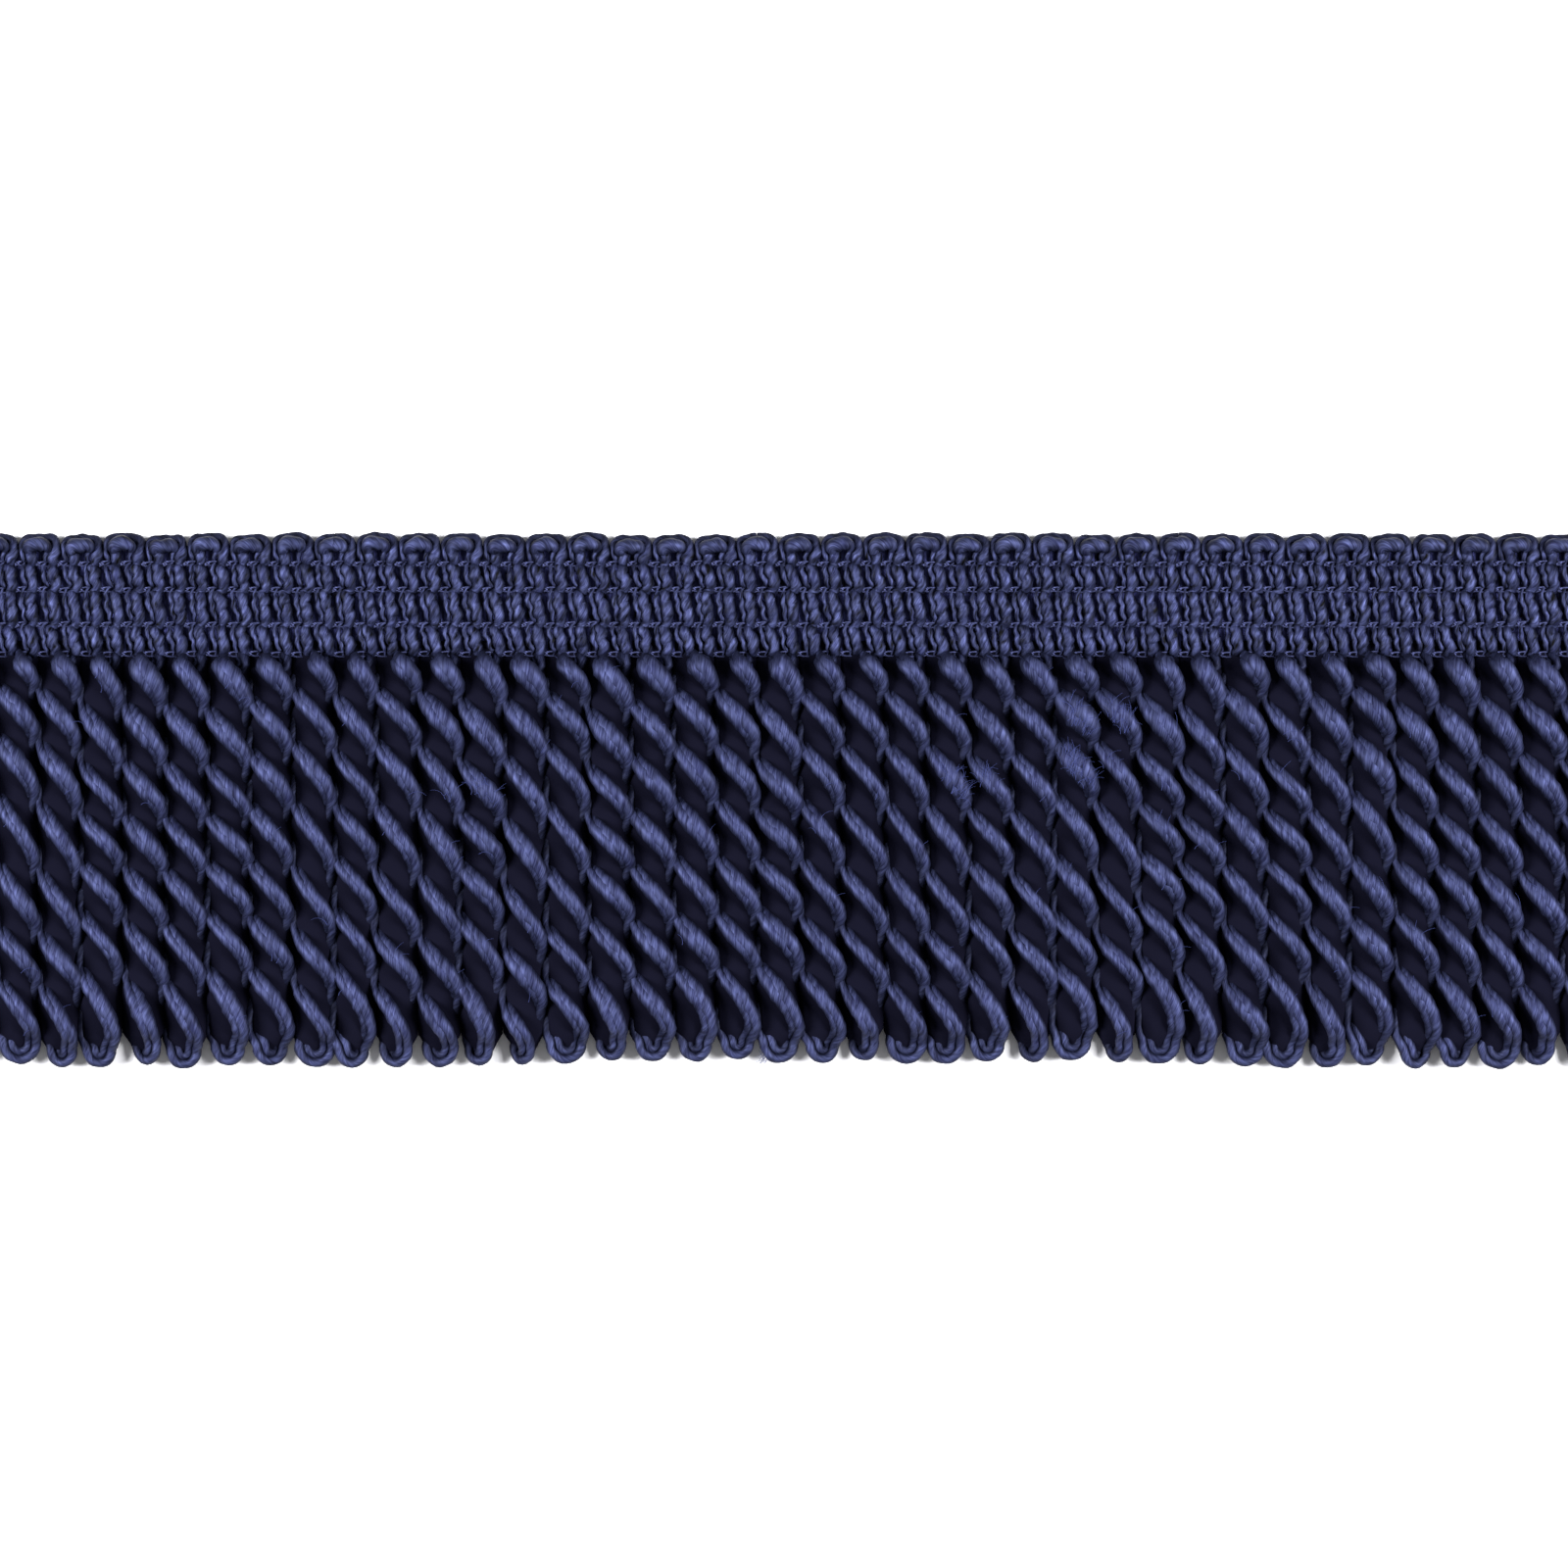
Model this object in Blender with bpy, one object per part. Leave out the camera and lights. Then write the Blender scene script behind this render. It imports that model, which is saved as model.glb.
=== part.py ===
"""A cut length of bullion fringe trim, lying flat with its right side up.

Two pieces: the woven heading, and the skirt of twisted cords that hangs from its lower edge.
The length runs along X, the cords' free loops point to -Y and the scalloped edge to +Y.
The trim rests on the plane z = 0, and the origin is under the middle of its outline.
"""

import math

import bmesh
import bpy

MM = 0.001

# Driving dimensions
CORD_PITCH = 4.75 * MM
CORD_COUNT = 41
OVERALL_DEPTH = 60.0 * MM
HEADING_DEPTH = 13.8 * MM
PIECE_GAP = 0.3 * MM

# The heading's scalloped edge: each scallop is half an ellipse above the valleys
SCALLOP_RISE = 1.2 * MM
SCALLOP_UNEVEN = 0.3 * MM
SCALLOP_COLUMNS = 6
VALLEY_THICKNESS = 0.72

# The cords of the skirt
CORD_WIDTH = 4.2 * MM
CORD_HEIGHT = 4.2 * MM
LOOP_HEIGHT = 0.6
LOOP_TAPER = 4.0 * MM
ROOT_TAPER = 3.0 * MM
SPINE_DEPTH = 1.4 * MM
SPINE_HEIGHT = 0.5
ROOT_HEIGHT = 0.72
SPINE_ROUNDING = 0.25
LOOP_STEPS = 4
CORD_STRIPS = 3

# How unevenly the loops end: a slow wave along the length and a quick one from cord to cord
SLOW_WAVE = 0.33 * MM
SLOW_WAVE_LENGTH = 140.0 * MM
SLOW_WAVE_CREST = -60.0 * MM
QUICK_WAVE = 0.22 * MM
QUICK_WAVE_TURN = 2.1
SWAY = 0.17 * MM
SWAY_TURN = 2.63

# The heading's upper face, from its lower edge up: the four rows of chain stitch are
# the low places, and the yarn swells between them
HEADING_FACE = (
    # (place, millimetres above the lower edge, millimetres above the back)
    ("fourth chain row", 0.0, 1.3),
    ("swell below the third row", 1.7, 2.2),
    ("third chain row", 3.4, 1.6),
    ("swell below the second row", 5.5, 2.3),
    ("second chain row", 7.6, 1.6),
    ("swell below the first row", 8.9, 2.2),
    ("first chain row", 10.2, 1.7),
)
# The scallops beyond the first chain row, measured back from the scalloped edge
SCALLOP_FACE = (
    # (place, millimetres inside the edge, millimetres above the back)
    ("crest of the scallop", 1.4, 2.5),
    ("outermost line", 0.0, 1.25),
    ("edge of the back", 0.5, 0.0),
)
# Round section of a cord, from the surface it lies on to its top
CORD_SECTION = (
    # (place, share of the height, millimetres inside the widest line)
    ("flat where it rests", 0.0, 1.2),
    ("lower side", 0.155, 0.35),
    ("widest line", 0.5, 0.0),
    ("upper side", 0.845, 0.35),
    ("top", 1.0, 1.2),
)

LENGTH = CORD_COUNT * CORD_PITCH
HEADING_FOOT = OVERALL_DEPTH / 2 - HEADING_DEPTH
SKIRT_TOP = HEADING_FOOT - PIECE_GAP
LOOP_END = -OVERALL_DEPTH / 2


def clear_scene():
    for thing in list(bpy.data.objects):
        bpy.data.objects.remove(thing, do_unlink=True)


def yarn(name, colour, roughness):
    """A Principled material for one piece's yarn."""
    material = bpy.data.materials.new(name)
    material.use_nodes = True
    shader = material.node_tree.nodes["Principled BSDF"]
    shader.inputs["Base Color"].default_value = (*colour, 1.0)
    shader.inputs["Roughness"].default_value = roughness
    shader.inputs["Metallic"].default_value = 0.0
    return material


def loft(name, rings, caps, material):
    """One closed body through equal rings of points, with the given faces at both ends."""
    bm = bmesh.new()
    rows = [[bm.verts.new(point) for point in ring] for ring in rings]
    for near, far in zip(rows, rows[1:]):
        for i, corner in enumerate(near):
            j = (i + 1) % len(near)
            bm.faces.new((corner, near[j], far[j], far[i]))
    for cap in caps:
        bm.faces.new([rows[0][i] for i in reversed(cap)])
        bm.faces.new([rows[-1][i] for i in cap])
    bmesh.ops.recalc_face_normals(bm, faces=bm.faces)
    mesh = bpy.data.meshes.new(name)
    bm.to_mesh(mesh)
    bm.free()
    mesh.materials.append(material)
    piece = bpy.data.objects.new(name, mesh)
    bpy.context.scene.collection.objects.link(piece)
    return piece


def cord_x(index):
    return (index + 0.5) * CORD_PITCH - LENGTH / 2


def from_longest(amounts):
    """Shift a row of amounts so that the least of them is nothing."""
    least = min(amounts)
    return [amount - least for amount in amounts]


def loop_shortfalls():
    """How far each loop ends short of the longest one."""
    amounts = []
    for index in range(CORD_COUNT):
        along = 2 * math.pi * (cord_x(index) - SLOW_WAVE_CREST) / SLOW_WAVE_LENGTH
        slow = SLOW_WAVE * math.cos(along)
        quick = QUICK_WAVE * math.sin(QUICK_WAVE_TURN * index)
        amounts.append(-slow - quick)
    return from_longest(amounts)


def scallop_shortfalls():
    """How far each scallop stays below the highest one."""
    return from_longest(
        [SCALLOP_UNEVEN * math.sin(QUICK_WAVE_TURN * index + 1) for index in range(CORD_COUNT)]
    )


def heading_column(x, arch, shortfall):
    """The heading's section at x, where arch is 0 in a valley and 1 on a scallop's crown."""
    edge = OVERALL_DEPTH / 2 - SCALLOP_RISE + arch * (SCALLOP_RISE - shortfall)
    thickness = VALLEY_THICKNESS + (1 - VALLEY_THICKNESS) * arch
    points = [(x, HEADING_FOOT, 0.0)]
    for _, up, high in HEADING_FACE:
        points.append((x, HEADING_FOOT + up * MM, high * MM))
    for _, inside, high in SCALLOP_FACE:
        points.append((x, edge - inside * MM, high * thickness * MM))
    return points


def make_heading():
    columns = []
    for index, shortfall in enumerate(scallop_shortfalls()):
        left = cord_x(index) - CORD_PITCH / 2
        for step in range(SCALLOP_COLUMNS):
            across = step / SCALLOP_COLUMNS
            arch = math.sqrt(1 - (2 * across - 1) ** 2)
            columns.append(heading_column(left + across * CORD_PITCH, arch, shortfall))
    columns.append(heading_column(LENGTH / 2, 0.0, 0.0))
    whole_section = tuple(range(len(columns[0])))
    return loft("heading", columns, [whole_section], yarn("heading_yarn", (0.05, 0.06, 0.14), 0.55))


def cord_outline(centre_x, tip_x, end_y, inset, share):
    """One cord's corners at one level, from its left side on the spine round to its right."""
    half = CORD_WIDTH / 2 - inset
    spine_y = SKIRT_TOP - SPINE_ROUNDING * inset
    root_y = SKIRT_TOP - SPINE_DEPTH + SPINE_ROUNDING * inset
    middle_y = end_y + CORD_WIDTH / 2
    places = (
        (centre_x, spine_y, SPINE_HEIGHT),
        (centre_x, root_y, ROOT_HEIGHT),
        (centre_x, SKIRT_TOP - SPINE_DEPTH - ROOT_TAPER, 1.0),
        (tip_x, middle_y + LOOP_TAPER, 1.0),
        (tip_x, middle_y, LOOP_HEIGHT),
    )
    left = [(x - half, y, share * CORD_HEIGHT * high) for x, y, high in places]
    right = [(x + half, y, share * CORD_HEIGHT * high) for x, y, high in reversed(places)]
    turns = [math.pi * (1 + step / LOOP_STEPS) for step in range(1, LOOP_STEPS)]
    loop = [
        (
            tip_x + half * math.cos(turn),
            middle_y + half * math.sin(turn),
            share * CORD_HEIGHT * LOOP_HEIGHT,
        )
        for turn in turns
    ]
    return left + loop + right


def comb_level(share, inset):
    """Every cord's corners at one level, and so the whole comb's outline but its spine."""
    cords = []
    for index, shortfall in enumerate(loop_shortfalls()):
        tip_x = cord_x(index) + SWAY * math.sin(SWAY_TURN * index)
        cords.append(
            cord_outline(cord_x(index), tip_x, LOOP_END + shortfall, inset * MM, share)
        )
    return cords


def comb_ring(cords):
    """The closed outline: down and up each cord, then back along the spine."""
    teeth = [point for cord in cords for point in cord[1:-1]]
    spine = [point for cord in reversed(cords) for point in (cord[-1], cord[0])]
    return teeth + spine


def comb_caps(corners):
    """Faces that close the comb above and below: strips down each cord and along the spine."""
    tooth = corners - 2
    last = CORD_COUNT * tooth + 2 * CORD_COUNT - 1
    caps = []
    for index in range(CORD_COUNT):
        first = index * tooth
        spine_left = last - 2 * index
        spine_right = spine_left - 1
        end = first + tooth - 1
        caps.append((spine_left, first, end, spine_right))
        for step in range(CORD_STRIPS):
            caps.append((first + step, first + step + 1, end - step - 1, end - step))
        caps.append(tuple(range(first + CORD_STRIPS, end - CORD_STRIPS + 1)))
        if index < CORD_COUNT - 1:
            caps.append((spine_right, end, end + 1, spine_right - 1))
    return caps


def make_skirt():
    levels = [comb_level(share, inset) for _, share, inset in CORD_SECTION]
    rings = [comb_ring(cords) for cords in levels]
    caps = comb_caps(len(levels[0][0]))
    return loft("bullion_skirt", rings, caps, yarn("cord_yarn", (0.03, 0.035, 0.09), 0.5))


clear_scene()
make_heading()
make_skirt()
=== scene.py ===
# %% [markdown]
# # A cut length of bullion fringe
#
# Bullion fringe is a trimming for cushions, curtains and sofas. One thick soft yarn, laid double,
# runs the whole length. It turns back in a scallop at the top, goes down through the heading, hangs
# as a long loop, and comes back up to the next scallop. The hanging loops are spun on themselves,
# so each becomes a fat two-ply cord. Four rows of thin chain stitch hold the heading together.
#
# The plan is to model exactly that: work out the path of the yarn, sweep a round section along it,
# and stitch the chain rows over it. A filler in each cord, a web behind the heading and a few stray
# fibres complete it. The fine fibres and the sheen come from the materials.

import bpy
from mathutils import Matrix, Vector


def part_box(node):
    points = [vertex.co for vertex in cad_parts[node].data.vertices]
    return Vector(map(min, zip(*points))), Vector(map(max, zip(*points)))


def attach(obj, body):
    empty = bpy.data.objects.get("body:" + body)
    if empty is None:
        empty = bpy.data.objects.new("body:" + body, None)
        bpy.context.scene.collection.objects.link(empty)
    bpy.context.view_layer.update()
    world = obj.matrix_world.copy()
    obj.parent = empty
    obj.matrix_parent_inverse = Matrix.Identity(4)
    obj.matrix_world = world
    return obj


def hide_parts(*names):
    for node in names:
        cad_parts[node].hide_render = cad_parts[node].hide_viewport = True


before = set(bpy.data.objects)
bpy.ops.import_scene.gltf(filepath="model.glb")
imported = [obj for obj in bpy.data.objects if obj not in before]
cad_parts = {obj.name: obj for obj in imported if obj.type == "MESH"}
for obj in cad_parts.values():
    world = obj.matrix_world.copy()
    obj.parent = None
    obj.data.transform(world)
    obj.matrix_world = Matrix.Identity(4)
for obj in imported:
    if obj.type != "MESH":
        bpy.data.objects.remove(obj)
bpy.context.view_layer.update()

import math

import bmesh
import bpy
import numpy as np
from mathutils import Vector

MM = 0.001

# %% [markdown]
# ## Camera
#
# The trim lies flat and is seen from straight above. A short lens close to it would see the sides
# of the outer cords, so a long lens from well up is used, which keeps perspective small. The field
# is a little narrower than the trim is long, so both cut ends lie just outside it.

# %% Camera
FIELD_WIDTH = 176.0 * MM
LENS_MM = 100.0
SENSOR_MM = 36.0
CAMERA_X, CAMERA_Y = 0.7 * MM, 1.65 * MM
CORD_MID_HEIGHT = 2.1 * MM

camera_data = bpy.data.cameras.new("camera")
camera_data.lens = LENS_MM
camera_data.sensor_width = SENSOR_MM
camera_data.clip_end = 10.0
camera = bpy.data.objects.new("camera", camera_data)
camera.location = (CAMERA_X, CAMERA_Y, CORD_MID_HEIGHT + FIELD_WIDTH * LENS_MM / SENSOR_MM)
bpy.context.scene.collection.objects.link(camera)
bpy.context.scene.camera = camera
print("camera height", round(camera.location.z, 3))

# %% [markdown]
# ## Sizes
#
# The trim's box comes from the frame and the rest is worked out from it, so the model can't drift
# from its CAD. The length is a whole number of cords. Each cord has two legs of doubled yarn in the
# heading, a quarter pitch to its left and right, and each scallop sits between two cords.

# %% Sizes from the frame
CORD_COUNT = 41
# The chain rows, above the lower edge of the heading
ROW_HEIGHTS_MM = (0.05, 3.35, 7.3, 10.2)
heading_low, heading_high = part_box("heading")
skirt_low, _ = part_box("bullion_skirt")
LENGTH = heading_high.x - heading_low.x
PITCH = LENGTH / CORD_COUNT
TOP = heading_high.y
FOOT = heading_low.y
LOOP_END = skirt_low.y
ROWS = [FOOT + height * MM for height in ROW_HEIGHTS_MM]
print("pitch mm", round(PITCH / MM, 3), "rows mm", [round(y / MM, 2) for y in ROWS])

# %% [markdown]
# ## The unevenness of hand-fed yarn
#
# No two loops of such a trim end level, and no two cords are twisted quite alike. Waves alone would
# look too regular and chance alone too wild. So each cord's own numbers come partly from slow waves
# along the length, because neighbours come off the machine alike, and partly from a seeded draw.

# %% Waves and seeded numbers
draw = np.random.default_rng(7)
cord_x = heading_low.x + (np.arange(CORD_COUNT) + 0.5) * PITCH
crown_x = heading_low.x + np.arange(CORD_COUNT + 1) * PITCH


def waves(x, *terms):
    """A sum of sines: each term is (size, wave length in mm, shift)."""
    return sum(
        size * np.sin(2 * np.pi * x / (length * MM) + shift) for size, length, shift in terms
    )


def spread(size):
    """A seeded number from -size to size for each cord."""
    return draw.uniform(-size, size, CORD_COUNT)


# %% Each cord's own numbers
# How far a loop ends short of the skirt's lower edge, or beyond it
loop_short = 0.12 - 0.33 * np.cos(2 * np.pi * (cord_x + 0.06) / 0.14) + spread(0.3)
loop_short = np.clip(loop_short, -0.4, 1.0) * MM
# The twist: half turns down to the loop, and the angle it starts from
half_turns = 6.93 + waves(cord_x, (0.10, 61, 0.4), (0.07, 23, 2.0)) + spread(0.3)
half_turns = np.clip(half_turns, 6.68, 7.2)
start_phase = 1.12 + waves(cord_x, (0.18, 47, 1.0)) + spread(0.3)
# How wide a cord is, how thick its yarn is, and how far its twist runs ahead of an even one
girth = 1 + spread(0.07)
fatness = 1 + spread(0.12)
wander = spread(0.7)
# Half the width of the loop: some close up tight, most stay open
loop_wide = (np.where(draw.random(CORD_COUNT) < 0.4, 1.0, 1.34) + spread(0.1)) * MM
# How low a scallop is, and how far a cord strays sideways at its tip and at its middle
crown_drop = draw.uniform(-0.05, 0.28, CORD_COUNT + 1) * MM
tip_sway = spread(0.4) * MM
mid_sway = spread(0.12) * MM
# How much slower the twist runs just above the loop, and where the thicker places of the yarn are
end_twist = -0.55 + spread(0.35)
swell_shift = spread(math.pi)
print("loops end up to", round(loop_short.max() / MM, 2), "mm short")

# %% [markdown]
# ## The path of the yarn
#
# Most of the trim is one yarn, so one line says where all of it goes. It could be drawn by hand as
# a curve, but 41 repeats that each differ a little are easier to work out. One repeat runs from the
# crown of a scallop to the crown of the next: half a scallop, a leg of the heading, one ply of the
# cord down, the loop, the other ply up, the next leg, and half a scallop.
#
# The yarn is two ends laid side by side. So each point of the path also says how far the ends lie
# apart to the side, how much one rides over the other, how thick they are, and the height about
# which light and shade are painted on it.

# %% Path helpers
# Heights above the table: of the heading's yarns, of a cord's middle, and how far its plies rise
LEG_HEIGHT = 1.12 * MM
HELIX_HEIGHT, HELIX_RZ = 2.2 * MM, 1.38 * MM
# Height about which light and shade are painted on the yarn: a cord's middle, so its back is
# painted in shade; for the heading one below it, so its tops are painted lit and its undersides in
# shade
LEG_SHADE_MIDDLE = LEG_HEIGHT - HELIX_RZ


def smooth(t):
    """From 0 to 1 with soft ends."""
    t = np.clip(t, 0.0, 1.0)
    return t * t * (3 - 2 * t)


def blend(a, b, t):
    return a + (b - a) * t


def stretch(x, y, z, apart, over, radius, uneven=0.0, fill=0.0, shade_middle=LEG_SHADE_MIDDLE):
    """One stretch of the path, a row for each point."""
    columns = np.broadcast_arrays(x, y, z, apart, over, radius, uneven, fill, shade_middle)
    return np.column_stack(columns).astype(float)


# %% [markdown]
# ## A leg of the heading
#
# A leg is the doubled yarn on its way down, or up, through the heading. Each chain row ties it down
# hard, so between two rows it swells, rises and leans, and its loose filaments crinkle. A straight
# tube with a bumpy material wouldn't cast those shadows, so the path itself carries them.

# %% Between the chain rows
# The height that the open stretch above the top row counts as
TOP_STRETCH = 3.2 * MM
# Below 1, so that the swelling is blunt and stops short at each row
SWELL_POWER = 0.6


def between_rows(y):
    """Which stretch between two rows each y is in, how far up it, and how much the yarn swells."""
    rows = np.array(ROWS + [ROWS[-1] + TOP_STRETCH])
    below = np.clip(np.searchsorted(rows, y) - 1, 0, len(rows) - 2)
    t = np.clip((y - rows[below]) / (rows[below + 1] - rows[below]), 0.0, 1.0)
    return below, t, np.sin(np.pi * t) ** SWELL_POWER


# %% A leg
# The ends' mean radius and the difference to it, half their spacing, and how one rides over
LEG_R, LEG_UNEVEN = 0.46 * MM, 0.18 * MM
LEG_APART, LEG_OVER = 0.47 * MM, -0.08 * MM
# A chain row takes this share of the thickness away
ROW_PINCH = 0.36
# How far a leg rises and leans between two rows, and how its ends change places
LEG_BULGE, LEG_LEAN, LEG_RIDE = 0.30 * MM, 0.30 * MM, 0.14 * MM
# The size and the length of the filaments' crinkles
CRINKLE, CRINKLE_LENGTH = 0.11 * MM, 1.5 * MM
# How much the lean, the rise and the place of a stretch vary
LEAN_SPREAD, BULGE_SPREAD, SHIFT_SPREAD = 0.12 * MM, 0.1 * MM, 0.1 * MM
# The ends' spacing as a share: at a row, between rows, and how much the second varies
ROW_CLOSE, OPEN_MEAN, OPEN_SPREAD = 0.8, 1.04, 0.12
# How soon the lean sets in away from a row, and how much thicker a high bulge is
LEAN_SOON, BULGE_THICK = 2.5, 0.06
# The spacing of a leg's points, and how far they may go past the lowest row
LEG_STEP, LEG_PAST_FOOT = 0.34 * MM, 0.1 * MM


def leg(x_middle, side, first_y):
    """From the scallop down to the lowest row for side 1, and back up for side -1."""
    y = np.arange(first_y, ROWS[0] - LEG_PAST_FOOT, -LEG_STEP)
    below, t, swell = between_rows(y)
    # Each stretch between two chain rows leans, bulges and opens a little differently
    lean, bulge, open_out, shift = (draw.uniform(-1, 1, len(ROWS))[below] for _ in range(4))
    crinkle = 2 * np.pi * y / CRINKLE_LENGTH + draw.uniform(-np.pi, np.pi)
    lean = (LEG_LEAN + LEAN_SPREAD * lean) * np.cos(np.pi * t)
    lean *= np.minimum(1.0, LEAN_SOON * swell)
    lean += CRINKLE * np.sin(crinkle) * swell
    x = x_middle + np.where(y < ROWS[-1], lean + SHIFT_SPREAD * shift * swell, 0.0)
    rise = 2 * LEG_BULGE + BULGE_SPREAD * bulge + CRINKLE * np.cos(crinkle)
    z = LEG_HEIGHT - LEG_BULGE + rise * swell
    radius = LEG_R * (1 - ROW_PINCH * (1 - swell) + BULGE_THICK * swell * (1 + bulge))
    apart = LEG_APART * blend(ROW_CLOSE, OPEN_MEAN + OPEN_SPREAD * open_out, swell)
    over = side * (LEG_OVER + LEG_RIDE * np.cos(np.pi * t) * swell)
    points = stretch(x, y, z, apart, over, radius, side * LEG_UNEVEN)
    return points if side > 0 else points[::-1]


# %% [markdown]
# ## Half a scallop
#
# At the top edge the yarn turns back on itself. The outer end goes round the outside, low and thin,
# and the inner end is pushed up into a fat knuckle, with a small eye below it. The turn is nearly a
# half circle. Neighbours press on each other, which squares its shoulders, so the ends are moved
# apart there, and the inner one is then drawn back in so that the eye stays small.

# %% Half a scallop
# The turn goes on a little past sideways. Half its width, and its height
ARCH_POINTS, ARCH_TURN_END = 17, math.radians(-22)
ARCH_RX, ARCH_RY = 1.42 * MM, 1.22 * MM
# The ends' mean radius and the difference to it, half their spacing, and how one rides over
ARCH_R, ARCH_UNEVEN = 0.70 * MM, 0.15 * MM
ARCH_APART, ARCH_OVER = 0.38 * MM, 0.50 * MM
# Height of the path, and the height about which light and shade are painted on it: high, so the
# low outer end is painted in shade
ARCH_HEIGHT, ARCH_SHADE_MIDDLE = 1.24 * MM, 1.16 * MM
# How far the shoulders are squared, and how much of that is taken back from the inner end
ARCH_CORNER, CORNER_POWER, EYE_CLOSE = 0.54 * MM, 1.5, 1.35
# How much thicker the inner end gets on the way round
ARCH_FILL = 0.07 * MM
# How much the knuckle swells, and the share of that on the side where the yarn comes up
KNUCKLE, KNUCKLE_UP = 0.05 * MM, 0.4


def half_scallop(k, side):
    """From crown k down to its right leg for side 1, or from its left leg up to it for side -1."""
    turn = np.linspace(math.pi / 2, ARCH_TURN_END, ARCH_POINTS)
    middle = TOP - ARCH_APART - ARCH_R + ARCH_UNEVEN - ARCH_RY
    squash = 1 - crown_drop[k] / ARCH_RY
    shoulder = np.maximum(turn, 0.0)
    corner = ARCH_CORNER * np.sin(2 * shoulder) ** 2 * np.cos(shoulder) ** CORNER_POWER
    x = crown_x[k] + side * ARCH_RX * np.cos(turn)
    y = middle + ARCH_RY * np.sin(turn) * np.where(turn > 0, squash, 1.0)
    down = smooth((math.pi / 2 - turn) / (math.pi / 2 - ARCH_TURN_END))
    height = blend(ARCH_HEIGHT, LEG_HEIGHT + 0.5 * LEG_BULGE, down)
    apart = blend(ARCH_APART, LEG_APART, down) + corner
    over = blend(-ARCH_OVER, side * LEG_OVER, down**2)
    full = np.sin(np.pi * down) * (1.0 if side > 0 else KNUCKLE_UP)
    radius = blend(ARCH_R, LEG_R, down) + KNUCKLE * full
    uneven = blend(-ARCH_UNEVEN, side * LEG_UNEVEN, down) - ARCH_FILL * full
    # The shade middle stays high round the turn, so the low outer end is painted in shade as a dark
    # rim, and the high knuckle is painted lit
    shade_middle = blend(ARCH_SHADE_MIDDLE, LEG_SHADE_MIDDLE, down**4)
    points = stretch(x, y, height, apart, over, radius, uneven, -EYE_CLOSE * corner, shade_middle)
    return points if side > 0 else points[::-1]


# %% [markdown]
# ## One ply of a cord
#
# Below the heading the two halves of the loop are twisted round each other. Each half, a ply, is a
# helix flattened by the table and by its neighbours: full and close together on the face of the
# cord, thin at its sides. A plain helix would look like a drill bit. So the ply's size and spacing
# change as it goes round, and its twist runs fast and slow.

# %% Thicker and rubbed places
# How much thicker the yarn is at the middle of a rubbed place
FLUFF = 0.36
# How much fuller it is just below the heading, and where that has faded out
TOP_FULLNESS, TOP_FULL_OVER = 0.2, 22 * MM
# Slubs are thicker places that come again and again
SLUB, SLUB_LENGTH = 0.1, 17 * MM
# Rubbed places, in mm: x, y, reach and number of places where stray fibres start
RUBBED = (
    (35.0, 8.0, 4.5, 90), (33.5, 2.5, 3.0, 40), (21.0, 2.0, 3.0, 40), (-34.5, -0.5, 2.6, 20),
)


def fluffed(x, y):
    """How much thicker the yarn is here: rubbing opens it."""
    return 1 + FLUFF * sum(
        np.exp(-((x / MM - at_x) ** 2 + (y / MM - at_y) ** 2) / reach**2)
        for at_x, at_y, reach, _ in RUBBED
    )


def fullness(k, down):
    """How thick cord k's yarn is, as a share. Spinning has pulled least on it near the heading."""
    full = fatness[k] * (1 + TOP_FULLNESS * (1 - smooth(down / TOP_FULL_OVER)))
    slub = 1 + SLUB * np.sin(2 * np.pi * down / SLUB_LENGTH + swell_shift[k])
    return full * (fluffed(cord_x[k], ROWS[0] - down) * slub)


# %% The twist
# How far the right-hand ply is held back at first, in radians, and where it has caught up
START_LAG, START_LAG_OVER = 0.95, 4.5 * MM
# The length above the loop in which the twist runs slower
END_TWIST_OVER = 8.5 * MM


def twist(k, side, down, reach):
    """The angle round the cord at each point: the ply is on the face at a quarter turn."""
    # The last half turn is long and open on some cords, and short and tight on others
    near_end = smooth((down - reach + END_TWIST_OVER) / END_TWIST_OVER)
    turned = np.cumsum(1 + end_twist[k] * near_end)
    turned = (turned - turned[0]) / (turned[-1] - turned[0])
    angle = blend(start_phase[k], half_turns[k] * np.pi, turned)
    angle = angle + wander[k] * np.sin(2 * np.pi * turned)
    # The right-hand ply stays at the side for a little before it turns to the back
    begun = smooth(down / START_LAG_OVER)
    return angle + (0 if side > 0 else np.pi - START_LAG * (1 - begun)), begun


# %% One ply
PLY_POINTS, PLY_START = 94, 0.25 * MM
# How far a ply swings out, how much straighter than a helix it crosses the face, and how far its
# rise runs behind its swing, in radians
HELIX_R, HELIX_STRAIGHT, HELIX_LAG = 2.04 * MM, 0.28, 0.24
PLY_ROCK = math.radians(45)
# The pair of ends on the face of the cord, at its side and at its back: half spacing, and radius
FACE = (0.23 * MM, 0.80 * MM)
SIDE = (0.40 * MM, 0.45 * MM)
BACK = (1.04 * MM, 0.70 * MM)
# How sharply a ply fills out on the face and on the back, and how uneven its two sides are
FACE_POWER, BACK_POWER, SIDE_TAPER = 1.05, 1.6, 0.22
# The ends going round the loop: radius, half their spacing, and how one rides over
LOOP_END_R, LOOP_APART, LOOP_OVER = 0.53 * MM, 0.45 * MM, 0.16 * MM
# The loop's height, how far its end dips, and how flat the cord is just above it
LOOP_HEIGHT, LOOP_DIP, LOOP_FLAT = 1.35 * MM, 0.2 * MM, 0.7
# The lengths over which the ply leaves the heading, turns into the loop, and parts its ends
RAMP_IN, RAMP_OUT, PART_OVER = 1.5 * MM, 2.2 * MM, 4.5 * MM
# The ends' spacing just below the heading, as a share of a leg's
START_CLOSE = 0.75


def cord_middle(k, down):
    """Where cord k's middle line is, this far below the heading."""
    t = down / (FOOT - LOOP_END)
    return cord_x[k] + mid_sway[k] * np.sin(np.pi * t) + tip_sway[k] * smooth(t) * t


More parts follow.
